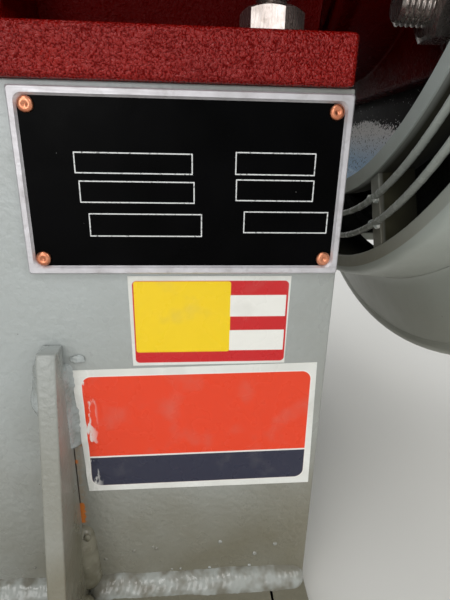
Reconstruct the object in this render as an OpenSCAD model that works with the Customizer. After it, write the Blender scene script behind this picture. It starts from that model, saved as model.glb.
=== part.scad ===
// Double-ended electric motor siren on a welded pedestal.
// A foot and flange mounted motor stands on two upright plates. At each end of it a cast sound
// head is bolted to the motor flange: an intake ring with guard wires, a ported stator, a flared
// mouth and a rotor on the motor shaft.
// X runs along the motor shaft, the front plate faces -Y, Z is up, and the origin is the middle
// of the base plate's underside.

/* [Pedestal] */
// Length of the upright plates along the shaft
plate_l = 182; // [180:1:240]
// Overhang of the motor feet beyond the front and rear plates
foot_over = 3; // [0:0.5:8]
// Height of the upright plates above the base plate
plate_h = 180; // [150:1:260]
// Thickness of the upright plates
plate_t = 6; // [4:1:10]
// Thickness of the top plate that the motor stands on
top_t = 8; // [5:1:14]
// Thickness of the base plate
base_t = 10; // [6:1:16]
// Ledge of the base plate in front of and behind the upright plates
ledge = 42; // [34:1:80]
// Diameter of the floor bolt holes
anchor_d = 14; // [8:1:18]
// Distance from the base plate's edges to the floor bolt holes
anchor_inset = 20; // [14:1:24]
// Leg of the weld along the foot of each upright plate
weld_leg = 6; // [3:0.5:9]

/* [Gussets] */
// Thickness of the gussets
gusset_t = 6; // [4:1:12]
// Height of the gussets
gusset_h = 105; // [60:1:140]
// Depth of the gussets at the base plate
gusset_foot = 32; // [20:1:33]
// Depth of the gussets at their top
gusset_head = 8; // [5:0.5:14]
// Shift of the gussets from the middle of the plate
gusset_shift = 3; // [-20:1:20]

/* [Motor] */
// Height of the shaft above the underside of the feet
shaft_h = 112; // [110:1:130]
// Distance of the foot bolts along the shaft
bolt_x = 140; // [120:1:150]
// Distance of the foot bolts across the shaft
bolt_y = 190; // [180:1:200]
// Overall length of the feet
foot_l = 180; // [170:1:200]
// Overall width over the feet
foot_w = 245; // [235:1:260]
// Thickness of the foot pads
foot_t = 13; // [8:1:20]
// Thickness of the webs that join the feet to the frame
web_t = 14; // [8:1:20]
// Distance from the foot bolts to the webs
web_room = 13.5; // [13:0.5:18]
// Diameter of the holes in the feet
foot_hole_d = 12; // [11:0.5:14]
// Diameter of the foot bolts
foot_bolt_d = 10; // [8:1:10]
// Length of the foot bolts above the foot pads
foot_bolt_up = 20; // [16:1:30]
// Length of the foot bolts below the top plate
foot_bolt_down = 12; // [10:1:20]
// Length of the finned frame
frame_l = 196; // [184:1:210]
// Distance from the underside of the feet up to the finned frame
frame_lift = 10; // [8:1:20]
// Bore of the frame
bore_d = 150; // [120:1:170]
// Height of the cooling fins
fin_h = 12; // [6:1:16]
// Thickness of the cooling fins
fin_t = 4; // [3:0.5:6]
// Angle between the cooling fins
fin_step = 9; // [8:1:15]
// Distance from the middle of the motor to the mounting face of each flange
flange_x = 140; // [130:1:160]
// Diameter of the flanges
flange_d = 280; // [278:1:282]
// Thickness of the flanges
flange_t = 9; // [8:1:12]
// Distance from the shaft to the flat on the underside of the flanges
flange_flat = 107; // [102:1:110]
// Diameter of the centring spigot on the flanges
spigot_d = 180; // [150:1:190]
// Distance from the edge of the flanges to their bolt circle
stud_edge = 13; // [13:0.5:18]
// Diameter of the flange studs
stud_d = 12; // [10:1:12]
// Length of the flange studs behind the flanges
stud_out = 21.5; // [16:0.5:24]
// Turn of the flanges, their studs and the intake spokes about the shaft, in degrees
end_turn = 2.5; // [0:0.5:4]
// Diameter of the shaft
shaft_d = 28; // [22:1:34]

/* [Terminal box] */
// Length and width of the terminal box
box_w = 96; // [80:1:110]
// Height of the terminal box
box_h = 34; // [28:1:50]
// Wall of the terminal box
box_wall = 5; // [3:0.5:8]
// Thickness of the lid
lid_t = 7; // [4:0.5:10]
// Overhang of the lid
lid_over = 2; // [0:0.5:4]
// Bore of the cable gland
gland_d = 13; // [8:0.5:16]

/* [Lifting eye] */
// Distance from the eye bolt to the end of the frame
eye_inset = 28; // [22:1:36]
// Radius of the eye's ring, to the middle of its bar
eye_r = 14; // [12:1:18]
// Diameter of the eye's bar
eye_bar = 8; // [6:0.5:10]

/* [Head] */
// Distance from the middle of the motor to the intake face of each head
face_x = 120; // [112:1:124]
// Room between the edge of the flange and the intake lip
lip_room = 7; // [7:0.5:8]
// Width of the intake lip
lip_w = 6.5; // [5:0.5:9]
// Height of the intake windows
window_h = 29.5; // [26.5:0.5:30.5]
// Width of the band between the windows and the outside of the drum
band_w = 9; // [8:0.5:13]
// Outer radius of the flared mouth
mouth_r = 228; // [215:1:236]
// Number of intake spokes and of sound ports
ports = 8; // [8:4:12]
// Width of the intake spokes
spoke_w = 7.6; // [6:0.2:12]
// Wall thickness of the castings
wall = 6; // [5:0.5:7]
// Depth of the whole head from the intake face to the front face
head_depth = 114; // [110:1:124]
// Distance from the intake face to the start of the flare
flare_start = 23; // [20:1:26]
// Axial length of the rear flare
flare_rise = 17; // [12:1:20]
// Axial length of the front flare
front_rise = 38; // [24:1:48]
// Diameter of the guard wires
wire_d = 2.8; // [2:0.2:5]
// Distance from the inner edge of the windows to the inner guard ring
wire_in = 9.5; // [6.5:0.5:12.5]
// Distance from the outer edge of the windows to the outer guard ring
wire_out = 9.5; // [6:0.5:13]

// Radius of the caps over the shaft ends
cap_r = 62; // [50:1:75]
// Height of the caps
cap_dome = 16; // [10:1:20]

/* [Rotor] */
// Running clearance round the rotor
run_gap = 6; // [5:0.5:8]
// Thickness of the rotor vanes
vane_t = 4; // [3:0.5:6]
// Thickness of the rotor disc
disc_t = 5; // [4:0.5:8]
// Thickness of the rotor rim
rim_t = 5; // [4:0.5:8]

/* [Nameplate] */
// Width of the nameplate
name_w = 91; // [70:1:91]
// Height of the nameplate
name_h = 50; // [40:1:60]
// Thickness of the nameplate
name_t = 1.2; // [0.8:0.1:2]
// Height of the raised frame round the nameplate
name_rim = 0.8; // [0.4:0.1:1.5]
// Width of the raised frame
name_frame = 2.2; // [1.5:0.1:3]

/* [Hidden] */
$fn = 96;
eps = 0.01;
plate_gap = foot_w - 2 * foot_over;
foot_z = base_t + plate_h;
axis_z = foot_z + shaft_h;
base_w = plate_gap + 2 * ledge;
web_y = bolt_y / 2 - web_room - web_t;
pad_w = foot_w / 2 - web_y;
frame_d = 2 * (shaft_h - frame_lift);
fin_r = frame_d / 2 + fin_h;
seat_h = 4;
eye_x = frame_l / 2 - eye_inset;
eye_seat = 26;
box_z = axis_z + fin_r + seat_h;
flange_r = flange_d / 2;
stud_r = flange_r - stud_edge;
lip_r = flange_r + lip_room;
window_in_r = lip_r + lip_w;
window_out_r = window_in_r + window_h;
drum_r = window_out_r + band_w;
wire_in_r = window_in_r + wire_in;
wire_out_r = window_out_r - wire_out;
shield_r = frame_d / 2 + 3;
neck_r = shield_r - 7;
shield_l = flange_x - flange_t - frame_l / 2;
bore_gap = 0.3;
hub_r = lip_r - 5;
hub_face = flange_x - face_x;
hub_t = 10;
hub_back = hub_face + hub_t;
bowl_h = hub_back + 1;
window_back = 20;
flare_root = drum_r + 2;
stator_in_r = drum_r - 8;
stator_u0 = flare_start + wall;
stator_u1 = head_depth - flare_start - wall;
port_rim = 6;
port_angle = 180 / ports;
rotor_r = stator_in_r - run_gap;
rotor_u0 = bowl_h + run_gap - 1;
rotor_u1 = head_depth - rotor_u0;
rotor_hub_r = 30;
shaft_end = face_x + rotor_u1 - 1;
stud_angle = 45 - end_turn;
name_x = plate_l / 2 - 0.5 - name_w / 2;
name_z = foot_z - 1.5 - name_h / 2;

// Colours of the finishes
grey = [0.66, 0.69, 0.68];
red = [0.70, 0.11, 0.12];
steel = [0.78, 0.78, 0.76];
alu = [0.80, 0.78, 0.74];
copper = [0.80, 0.50, 0.36];

// Turns a shape drawn round Z so that it runs along the shaft, away from the motor,
// with its zero at the intake face of the right head
module along_shaft(u = 0) {
    translate([face_x + u, 0, axis_z]) rotate([0, 90, 0]) children();
}

module both_sides() {
    children();
    mirror([0, 1, 0]) children();
}

module left_end() {
    mirror([1, 0, 0]) children();
}

// Pedestal
module base_plate() {
    color(grey) difference() {
        translate([-plate_l / 2, -base_w / 2, 0]) cube([plate_l, base_w, base_t]);
        for (sx = [-1, 1], sy = [-1, 1])
            translate([sx * (plate_l / 2 - anchor_inset), sy * (base_w / 2 - anchor_inset), -1])
                cylinder(d = anchor_d, h = base_t + 2);
    }
}

module upright() {
    translate([-plate_l / 2, -plate_gap / 2, base_t]) cube([plate_l, plate_t, plate_h]);
}

module front_plate() {
    color(grey) upright();
}

module rear_plate() {
    color(grey) mirror([0, 1, 0]) upright();
}

module top_plate() {
    inner = plate_gap - 2 * plate_t;
    color(grey) difference() {
        translate([-plate_l / 2, -inner / 2, foot_z - top_t]) cube([plate_l, inner, top_t]);
        for (sx = [-1, 1], sy = [-1, 1])
            translate([sx * bolt_x / 2, sy * bolt_y / 2, foot_z - top_t - 1])
                cylinder(d = foot_hole_d, h = top_t + 2);
    }
}

// Tapered flat bar on edge, its top corner broken
module gusset() {
    chamfer = 1;
    translate([gusset_shift + gusset_t / 2, -plate_gap / 2, base_t]) rotate([0, -90, 0])
        linear_extrude(gusset_t)
            polygon([[0, 0], [gusset_h, 0], [gusset_h, chamfer - gusset_head],
                [gusset_h - chamfer, -gusset_head],
                [0, -gusset_foot]]);
}

module front_gusset() {
    color(grey) gusset();
}

module rear_gusset() {
    color(grey) mirror([0, 1, 0]) gusset();
}

// Fillet weld along the foot of a plate, open where the gusset stands
module weld() {
    gap = gusset_t / 2 + 0.2;
    runs = [[-plate_l / 2, gusset_shift - gap], [gusset_shift + gap, plate_l / 2]];
    for (run = runs)
        translate([run[0], -plate_gap / 2, base_t]) rotate([90, 0, 90])
            linear_extrude(run[1] - run[0])
                intersection() {
                    translate([-weld_leg, 0]) square(weld_leg);
                    circle(weld_leg);
                }
}

module front_weld() {
    color(grey) weld();
}

module rear_weld() {
    color(grey) mirror([0, 1, 0]) weld();
}

// Motor
module foot() {
    web_h = shaft_h - foot_t - frame_d / 2 * 0.55;
    rib_foot = foot_w / 2 - 4;
    rib_x = -1;
    difference() {
        union() {
            translate([-foot_l / 2, -foot_w / 2, foot_z]) cube([foot_l, pad_w, foot_t]);
            translate([-foot_l / 2, -web_y - web_t, foot_z + foot_t - eps])
                cube([foot_l, web_t, web_h]);
            translate([rib_x, 0, foot_z + foot_t - eps]) rotate([0, -90, 0])
                linear_extrude(2 * fin_t)
                    polygon([[0, -web_y - 1], [web_h * 0.9, -web_y - 1],
                        [web_h * 0.9, -web_y - web_t], [0, -rib_foot]]);
        }
        for (sx = [-1, 1])
            translate([sx * bolt_x / 2, -bolt_y / 2, foot_z - 1])
                cylinder(d = foot_hole_d, h = foot_t + 2);
    }
}

module fin() {
    translate([-frame_l / 2 + 8, -fin_t / 2, 0]) cube([frame_l - 16, fin_t, fin_r]);
}

module motor_frame() {
    color(red) difference() {
        union() {
            translate([-frame_l / 2, 0, axis_z]) rotate([0, 90, 0]) cylinder(d = frame_d, h = frame_l);
            for (a = [-108 : fin_step : 108])
                translate([0, 0, axis_z]) rotate([a, 0, 0]) fin();
            translate([-box_w / 2, -box_w / 2, axis_z]) cube([box_w, box_w, fin_r + seat_h]);
            translate([eye_x, 0, axis_z]) cylinder(d = eye_seat, h = fin_r + seat_h);
            both_sides() foot();
        }
        translate([-frame_l / 2 - 1, 0, axis_z]) rotate([0, 90, 0])
            cylinder(d = bore_d, h = frame_l + 2);
    }
}

// Dished end shield with the mounting flange, flat on its underside
module end_shield() {
    color(red) difference() {
        union() {
            translate([frame_l / 2, 0, axis_z]) rotate([0, 90, 0]) rotate_extrude()
                polygon([[0, 0], [shield_r, 0], [shield_r, 3], [neck_r, 11],
                    [neck_r, shield_l], [0, shield_l]]);
            difference() {
                translate([flange_x - flange_t, 0, axis_z]) rotate([0, 90, 0])
                    cylinder(d = flange_d, h = flange_t);
                translate([0, 0, axis_z]) rotate([-end_turn, 0, 0])
                    translate([0, -flange_d, -flange_flat - flange_d])
                        cube([2 * flange_x, 2 * flange_d, flange_d]);
            }
            translate([flange_x - eps, 0, axis_z]) rotate([0, 90, 0]) cylinder(d = spigot_d, h = 4);
        }
        translate([frame_l / 2 - 1, 0, axis_z]) rotate([0, 90, 0])
            cylinder(d = shaft_d + 2 * bore_gap, h = flange_x);
        for (a = [0 : 90 : 270])
            translate([flange_x - flange_t - 1, 0, axis_z]) rotate([stud_angle + a, 0, 0])
                translate([0, 0, stud_r]) rotate([0, 90, 0])
                    cylinder(d = stud_d + 2.5, h = flange_t + 2);
    }
}

module right_end_shield() {
    end_shield();
}

module left_end_shield() {
    left_end() end_shield();
}

// Box for the motor's wires, with a round hole for the cable gland
gland_thread = gland_d + 7.6;

module terminal_box() {
    color(red) difference() {
        translate([-box_w / 2, -box_w / 2, box_z]) cube([box_w, box_w, box_h]);
        translate([-box_w / 2 + box_wall, -box_w / 2 + box_wall, box_z + box_wall])
            cube([box_w - 2 * box_wall, box_w - 2 * box_wall, box_h]);
        translate([0, box_w / 2 - box_wall - 1, box_z + box_h / 2]) rotate([-90, 0, 0])
            cylinder(d = gland_thread + 0.4, h = box_wall + 2);
    }
}

module terminal_lid() {
    lid_w = box_w + 2 * lid_over;
    color(red) translate([-lid_w / 2, -lid_w / 2, box_z + box_h]) cube([lid_w, lid_w, lid_t]);
}

module cable_gland() {
    hex = gland_d + 17;
    hex_h = 8;
    dome_h = 12;
    color(steel) translate([0, box_w / 2 - box_wall, box_z + box_h / 2]) rotate([-90, 0, 0])
        difference() {
            union() {
                cylinder(d = gland_thread, h = box_wall);
                translate([0, 0, box_wall]) cylinder(d = hex, h = hex_h, $fn = 6);
                translate([0, 0, box_wall + hex_h]) cylinder(d = gland_d + 11, h = dome_h);
            }
            translate([0, 0, -1]) cylinder(d = gland_d, h = box_wall + hex_h + dome_h + 2);
        }
}

// Eye bolt on the motor's top
module lifting_eye() {
    collar_h = 5;
    color(steel) translate([eye_x, 0, axis_z + fin_r + seat_h]) {
        cylinder(d = eye_seat - 6, h = collar_h);
        translate([0, 0, collar_h + eye_r]) rotate([90, 0, 0])
            rotate_extrude() translate([eye_r, 0]) circle(d = eye_bar);
    }
}

// Stud with a hexagon nut on a washer, standing on the plane z = 0
module nut_stud(d, below, above, nut_h, washer_t) {
    translate([0, 0, -below]) cylinder(d = d, h = below + above);
    cylinder(d = 2.1 * d, h = washer_t);
    translate([0, 0, washer_t - eps]) cylinder(d = 1.96 * d, h = nut_h, $fn = 6);
}

module foot_studs() {
    nut_h = 0.84 * foot_bolt_d;
    below = foot_t + top_t;
    color(steel) for (sx = [-1, 1], sy = [-1, 1])
        translate([sx * bolt_x / 2, sy * bolt_y / 2, foot_z + foot_t]) rotate([0, 0, 6]) {
            nut_stud(foot_bolt_d, below + foot_bolt_down, foot_bolt_up, nut_h, 0.16 * foot_bolt_d);
            translate([0, 0, -below - nut_h]) cylinder(d = 1.96 * foot_bolt_d, h = nut_h, $fn = 6);
        }
}

module flange_studs() {
    nut_h = 0.84 * stud_d;
    color(steel) for (a = [0 : 90 : 270])
        translate([flange_x - flange_t, 0, axis_z]) rotate([stud_angle + a, 0, 0])
            translate([0, 0, stud_r]) rotate([0, -90, 0])
                nut_stud(stud_d, flange_t + hub_t - 3, stud_out, nut_h, 0.2 * stud_d);
}

module right_flange_studs() {
    flange_studs();
}

module left_flange_studs() {
    left_end() flange_studs();
}

// Cast sound heads
// Points of a quarter bowl from the hub plate at height h to the lip at radius r
function bowl(r, h, n = 16) =
    [for (i = [0 : n]) [hub_r - 6 + (r - hub_r + 6) * sin(90 * i / n), h * cos(90 * i / n)]];

// Inside of the recess round the flange: a flat floor with a rounded wall up to the lip
module recess() {
    corner_h = 16;
    rotate_extrude()
        polygon(concat([[0, -5], [0, hub_face]],
            [for (i = [0 : 12]) [hub_r + (lip_r - hub_r) * sin(7.5 * i),
                hub_face - corner_h + corner_h * cos(7.5 * i)]],
            [[lip_r, -5]]));
}

// Radial bars of the intake ring, set back behind the guard wires
module spokes() {
    face = wire_d / 2;
    spoke_depth = window_back - 3 - face;
    root = lip_r - 9;
    for (i = [0 : ports - 1])
        rotate([0, 0, (i + 0.5) * 360 / ports - end_turn])
            translate([root, -spoke_w / 2, face])
                cube([window_out_r + 3 - root, spoke_w, spoke_depth]);
}

// Section of the outer band and the drum wall
module drum_section() {
    corner = 4;
    polygon([[window_out_r, 0], [drum_r - corner, 0],
        for (i = [1 : 5]) [drum_r - corner + corner * sin(18 * i), corner - corner * cos(18 * i)],
        [flare_root, flare_start], [flare_root, stator_u0], [stator_in_r, stator_u0],
        [stator_in_r, window_back + 4], [window_out_r, window_back]]);
}

// Solid dish: hub plate, bowl and intake lip
module dish() {
    rotate_extrude() polygon(concat([[0, 0], [0, bowl_h]], bowl(window_in_r, bowl_h, 16)));
}

module hub_bore() {
    translate([0, 0, -1]) cylinder(r = shaft_d / 2 + 6, h = bowl_h + 2);
}

// The rear half of a head: a dish on the motor flange, then spokes, intake ring and flare
module head_back() {
    color(grey) along_shaft() difference() {
        dish();
        recess();
        hub_bore();
        translate([0, 0, hub_face - 1]) cylinder(d = spigot_d + 1, h = 5.5);
        for (a = [0 : 90 : 270])
            rotate([0, 0, stud_angle + a]) translate([stud_r, 0, hub_face - 1])
                cylinder(d = stud_d + 0.4, h = hub_t - 1);
    }
}

module right_head_back() {
    head_back();
}

module left_head_back() {
    left_end() head_back();
}

module intake_spokes() {
    color(grey) along_shaft() difference() {
        intersection() {
            spokes();
            translate([0, 0, -1]) cylinder(r = window_out_r, h = window_back + 2);
        }
        dish();
    }
}

module right_intake_spokes() {
    intake_spokes();
}

module left_intake_spokes() {
    left_end() intake_spokes();
}

module intake_ring() {
    color(grey) along_shaft() rotate_extrude() drum_section();
}

module right_intake_ring() {
    intake_ring();
}

module left_intake_ring() {
    left_end() intake_ring();
}

// Flare with a rolled rim, its foot faired into the ring
module rear_flare() {
    rim = 4;
    fair = 4;
    edge_r = mouth_r - rim;
    slope = atan((flare_rise - 3) / (edge_r - flare_root));
    color(grey) along_shaft() rotate_extrude() {
        polygon([[flare_root, flare_start - fair / 3],
            [flare_root + fair / 4, flare_start],
            [flare_root + fair, flare_start + fair * tan(slope)],
            [edge_r, flare_start + flare_rise - 3], [edge_r, flare_start + flare_rise + 4],
            [flare_root, stator_u0]]);
        translate([edge_r, flare_start + flare_rise]) circle(r = rim, $fn = 32);
    }
}

module right_rear_flare() {
    rear_flare();
}

module left_rear_flare() {
    left_end() rear_flare();
}

// Cylindrical stator wall with its sound ports
module stator() {
    height = stator_u1 - stator_u0;
    color(grey) along_shaft(stator_u0) difference() {
        cylinder(r = drum_r, h = height);
        translate([0, 0, -1]) cylinder(r = stator_in_r, h = height + 2);
        for (i = [0 : ports - 1])
            rotate([0, 0, i * 360 / ports]) translate([0, 0, port_rim])
                rotate([0, 0, -port_angle / 2])
                    rotate_extrude(angle = port_angle)
                        translate([stator_in_r - 2, 0]) square([12, height - 2 * port_rim]);
    }
}

module right_stator() {
    stator();
}

module left_stator() {
    left_end() stator();
}

// Front half of the head: the same dish and ring in one casting, with the wider front flare
module front_flare() {
    root = flare_root;
    rim = 4;
    u0 = stator_u1;
    rotate_extrude() {
        polygon([[root - 2, u0], [root, u0], [mouth_r - rim, u0 + front_rise - 6],
            [mouth_r - rim, u0 + front_rise], [root, u0 + wall], [root - 2, u0 + wall]]);
        translate([mouth_r - rim, u0 + front_rise - 3]) circle(r = rim, $fn = 32);
    }
}

module head_front() {
    color(grey) along_shaft() union() {
        translate([0, 0, head_depth]) mirror([0, 0, 1]) difference() {
            union() {
                dish();
                spokes();
                rotate_extrude() drum_section();
            }
            recess();
            hub_bore();
        }
        front_flare();
    }
}

module right_head_front() {
    head_front();
}

module left_head_front() {
    left_end() head_front();
}

// Two round wire rings on the faces of the spokes, level with the lip
module guard() {
    for (r = [wire_in_r, wire_out_r])
        rotate_extrude() translate([r, 0]) circle(d = wire_d, $fn = 24);
}

module right_rear_guard() {
    color(grey) along_shaft() guard();
}

module left_rear_guard() {
    left_end() color(grey) along_shaft() guard();
}

module front_guard() {
    color(grey) along_shaft(head_depth) mirror([0, 0, 1]) guard();
}

module right_front_guard() {
    front_guard();
}

module left_front_guard() {
    left_end() front_guard();
}

// Domed cap over the shaft end
module cap() {
    ball_r = 2 * cap_r;
    color(grey) along_shaft(head_depth - hub_face) difference() {
        intersection() {
            translate([0, 0, cap_dome - ball_r]) sphere(r = ball_r);
            cylinder(r = cap_r, h = cap_dome);
        }
        translate([0, 0, -1]) cylinder(r = shaft_d, h = 5);
    }
}

module right_cap() {
    cap();
}

module left_cap() {
    left_end() cap();
}

// Rotor and shaft
module shaft() {
    color(steel) translate([-shaft_end, 0, axis_z]) rotate([0, 90, 0])
        cylinder(d = shaft_d, h = 2 * shaft_end);
}

module rotor() {
    width = rotor_u1 - rotor_u0;
    color(grey) along_shaft(rotor_u0) difference() {
        union() {
            cylinder(r = rotor_hub_r, h = width);
            translate([0, 0, width / 2 - disc_t / 2]) cylinder(r = rotor_r - 1, h = disc_t);
            for (i = [0 : ports - 1])
                rotate([0, 0, (i + 0.5) * 360 / ports])
                    translate([rotor_hub_r - 2, -vane_t / 2, 0])
                        cube([rotor_r - rotor_hub_r - 1, vane_t, width]);
            difference() {
                cylinder(r = rotor_r, h = width);
                translate([0, 0, -1]) cylinder(r = rotor_r - rim_t, h = width + 2);
                for (i = [0 : ports - 1])
                    rotate([0, 0, i * 360 / ports - port_angle / 2])
                        translate([0, 0, rim_t])
                            rotate_extrude(angle = port_angle)
                                translate([rotor_r - rim_t - 2, 0])
                                    square([rim_t + 4, width - 2 * rim_t]);
            }
        }
        translate([0, 0, -1]) cylinder(d = shaft_d + 0.2, h = width + 2);
    }
}

module right_rotor() {
    rotor();
}

module left_rotor() {
    left_end() rotor();
}

// Nameplate with a raised frame, on four rivets
rivet_inset = 4.6;
rivet_x = name_w / 2 - rivet_inset;
rivet_z = name_h / 2 - rivet_inset;
plate_face = -plate_gap / 2;

module nameplate() {
    field_w = name_w - 2 * name_frame;
    field_h = name_h - 2 * name_frame;
    color(alu) translate([name_x, plate_face, name_z]) rotate([90, 0, 0]) difference() {
        translate([-name_w / 2, -name_h / 2, 0]) cube([name_w, name_h, name_t + name_rim]);
        translate([-field_w / 2, -field_h / 2, name_t]) cube([field_w, field_h, 2]);
        for (sx = [-1, 1], sz = [-1, 1])
            translate([sx * rivet_x, sz * rivet_z, -1]) cylinder(d = 2.4, h = 4);
    }
}

module nameplate_rivets() {
    color(copper) for (sx = [-1, 1], sz = [-1, 1])
        translate([name_x + sx * rivet_x, plate_face - name_t, name_z + sz * rivet_z])
            rotate([90, 0, 0]) {
                translate([0, 0, -name_t]) cylinder(d = 2.3, h = name_t + eps);
                cylinder(d1 = 4, d2 = 3, h = 1.2);
            }
}

base_plate();
front_plate();
rear_plate();
top_plate();
front_gusset();
rear_gusset();
front_weld();
rear_weld();
motor_frame();
right_end_shield();
left_end_shield();
terminal_box();
terminal_lid();
cable_gland();
lifting_eye();
foot_studs();
right_flange_studs();
left_flange_studs();
right_head_back();
left_head_back();
right_intake_spokes();
left_intake_spokes();
right_intake_ring();
left_intake_ring();
right_rear_flare();
left_rear_flare();
right_stator();
left_stator();
right_head_front();
left_head_front();
right_rear_guard();
left_rear_guard();
right_front_guard();
left_front_guard();
right_cap();
left_cap();
shaft();
right_rotor();
left_rotor();
nameplate();
nameplate_rivets();
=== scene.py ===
import math

import bmesh
import bpy
from mathutils import Matrix, Vector, noise


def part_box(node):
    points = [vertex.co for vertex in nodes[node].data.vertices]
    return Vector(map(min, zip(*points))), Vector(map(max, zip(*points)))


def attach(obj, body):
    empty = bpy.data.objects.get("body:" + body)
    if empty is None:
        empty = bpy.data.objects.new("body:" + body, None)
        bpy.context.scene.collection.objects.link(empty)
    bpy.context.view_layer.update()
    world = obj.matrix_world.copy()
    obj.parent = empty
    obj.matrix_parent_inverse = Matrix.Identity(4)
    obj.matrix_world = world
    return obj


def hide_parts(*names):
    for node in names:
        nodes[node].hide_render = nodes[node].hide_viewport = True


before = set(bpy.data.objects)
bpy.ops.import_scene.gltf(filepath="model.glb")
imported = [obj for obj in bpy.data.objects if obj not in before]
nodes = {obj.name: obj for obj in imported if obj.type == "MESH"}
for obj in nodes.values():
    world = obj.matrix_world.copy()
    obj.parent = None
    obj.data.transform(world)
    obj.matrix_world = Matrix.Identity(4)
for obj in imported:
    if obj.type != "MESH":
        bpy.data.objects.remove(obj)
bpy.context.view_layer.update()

# Camera: held a hand's breadth in front of the nameplate, looking down at the front plate and
# past its right edge at the lower part of the right sound head.
camera_place = Vector((0.0459, -0.2500, 0.1776))
camera_yaw = math.radians(4.75)
camera_pitch = math.radians(20.18)
camera_roll = math.radians(1.28)
camera = bpy.data.objects.new("camera", bpy.data.cameras.new("camera"))
camera.data.lens = 27.0
camera.data.sensor_width = 36.0
camera.data.clip_start = 0.01
camera.matrix_world = (
    Matrix.Translation(camera_place)
    @ Matrix.Rotation(-camera_yaw, 4, "Z")
    @ Matrix.Rotation(math.pi / 2 - camera_pitch, 4, "X")
    @ Matrix.Rotation(camera_roll, 4, "Z")
)
bpy.context.scene.collection.objects.link(camera)
bpy.context.scene.camera = camera
bpy.context.scene.view_settings.view_transform = "Standard"


# Light: a soft lamp high in front, a low one on the left that reaches under the flange, weaker
# ones on the right and behind for the far sides, in a pale room that shiny surfaces mirror.
def soft_lamp(name, place, aim, width, tall, power, colour):
    """A rectangular lamp of so many watts, turned towards its aim."""
    lamp = bpy.data.lights.new(name, "AREA")
    lamp.shape = "RECTANGLE"
    lamp.size = width
    lamp.size_y = tall
    lamp.energy = power
    lamp.color = colour
    made = bpy.data.objects.new(name, lamp)
    made.location = place
    made.rotation_euler = (Vector(aim) - Vector(place)).to_track_quat("-Z", "Y").to_euler()
    bpy.context.scene.collection.objects.link(made)


soft_lamp(
    "key_lamp", place=(-0.38, -0.86, 1.30), aim=(0.0, -0.05, 0.15),
    width=0.5, tall=0.5, power=3.4, colour=(1.0, 0.99, 0.97),
)
soft_lamp(
    "low_lamp", place=(-0.30, -1.12, 0.40), aim=(0.05, -0.05, 0.17),
    width=0.42, tall=0.7, power=2.7, colour=(1.0, 0.99, 0.98),
)
soft_lamp(
    "side_lamp", place=(1.00, -0.70, 1.00), aim=(0.1, 0.0, 0.25),
    width=0.7, tall=0.7, power=4.5, colour=(1.0, 0.98, 0.94),
)
soft_lamp(
    "back_lamp", place=(-0.4, 1.4, 1.3), aim=(0.0, 0.0, 0.3),
    width=0.9, tall=0.9, power=8.0, colour=(1.0, 1.0, 1.0),
)


def add_node(tree, kind, settings=None, **inputs):
    """Adds a shader node. An input is a value, or the socket that feeds it."""
    made = tree.nodes.new(kind)
    for key, value in (settings or {}).items():
        setattr(made, key, value)
    for key, value in inputs.items():
        feed(tree, made.inputs[key.replace("_", " ")], value)
    return made


def feed(tree, socket, value):
    if isinstance(value, bpy.types.NodeSocket):
        tree.links.new(value, socket)
    else:
        socket.default_value = value


def sums(tree, operation, *values):
    """A Math node on sockets or numbers."""
    made = tree.nodes.new("ShaderNodeMath")
    made.operation = operation
    for place, value in enumerate(values):
        feed(tree, made.inputs[place], value)
    return made.outputs[0]


cool_light = (0.88, 0.92, 0.96, 1.0)
pale_wall = (0.70, 0.70, 0.69, 1.0)
world = bpy.data.worlds.new("pale_room")
world.use_nodes = True
bpy.context.scene.world = world
room = world.node_tree
room.nodes.clear()
room_light = add_node(room, "ShaderNodeBackground", Color=cool_light, Strength=0.88)
room_seen = add_node(room, "ShaderNodeBackground", Color=pale_wall, Strength=1.0)
rays = add_node(room, "ShaderNodeLightPath").outputs
seen = sums(room, "MAXIMUM", rays["Is Camera Ray"], rays["Is Glossy Ray"])
seen = sums(room, "MAXIMUM", seen, rays["Is Transmission Ray"])
room_mix = add_node(room, "ShaderNodeMixShader", Fac=seen)
room.links.new(room_light.outputs[0], room_mix.inputs[1])
room.links.new(room_seen.outputs[0], room_mix.inputs[2])
add_node(room, "ShaderNodeOutputWorld", Surface=room_mix.outputs[0])

# Floor: a plain pale studio floor, wide enough to reach the horizon in every view, that takes
# the part's shadow.
floor_half = 6.0
floor_form = bmesh.new()
bmesh.ops.create_grid(floor_form, x_segments=1, y_segments=1, size=floor_half)
floor_mesh = bpy.data.meshes.new("studio_floor")
floor_form.to_mesh(floor_mesh)
floor_form.free()
floor = bpy.data.objects.new("studio_floor", floor_mesh)
bpy.context.scene.collection.objects.link(floor)
floor_paint = bpy.data.materials.new("studio_floor")
floor_paint.use_nodes = True
floor_shader = floor_paint.node_tree.nodes["Principled BSDF"]
floor_shader.inputs["Base Color"].default_value = (0.68, 0.66, 0.62, 1.0)
floor_shader.inputs["Roughness"].default_value = 0.6
floor_mesh.materials.append(floor_paint)


# Pedestal: a base plate, two upright plates and a top plate of 6 to 10 mm mild steel, welded
# and sprayed with grey enamel. The enamel is glossy, with a light orange peel, settled dust,
# painted shade low down and towards the right edge, and some rust where the gusset's weld was left open.
def linear(red, green, blue):
    """A colour given in screen values from 0 to 255, as the shader wants it."""
    return tuple((v / 255) ** 2.2 for v in (red, green, blue)) + (1.0,)


def object_place(tree):
    return add_node(tree, "ShaderNodeTexCoord").outputs["Object"]


def place_axes(tree, where):
    return add_node(tree, "ShaderNodeSeparateXYZ", Vector=where).outputs


def grain(tree, where, cell, detail=2.0, stretch=None):
    """Cloudy noise from 0 to 1, its lumps about cell metres across."""
    if stretch:
        where = add_node(tree, "ShaderNodeMapping", Vector=where, Scale=stretch).outputs[0]
    made = add_node(tree, "ShaderNodeTexNoise", Vector=where, Scale=1 / cell, Detail=detail)
    return made.outputs["Fac"]


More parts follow.
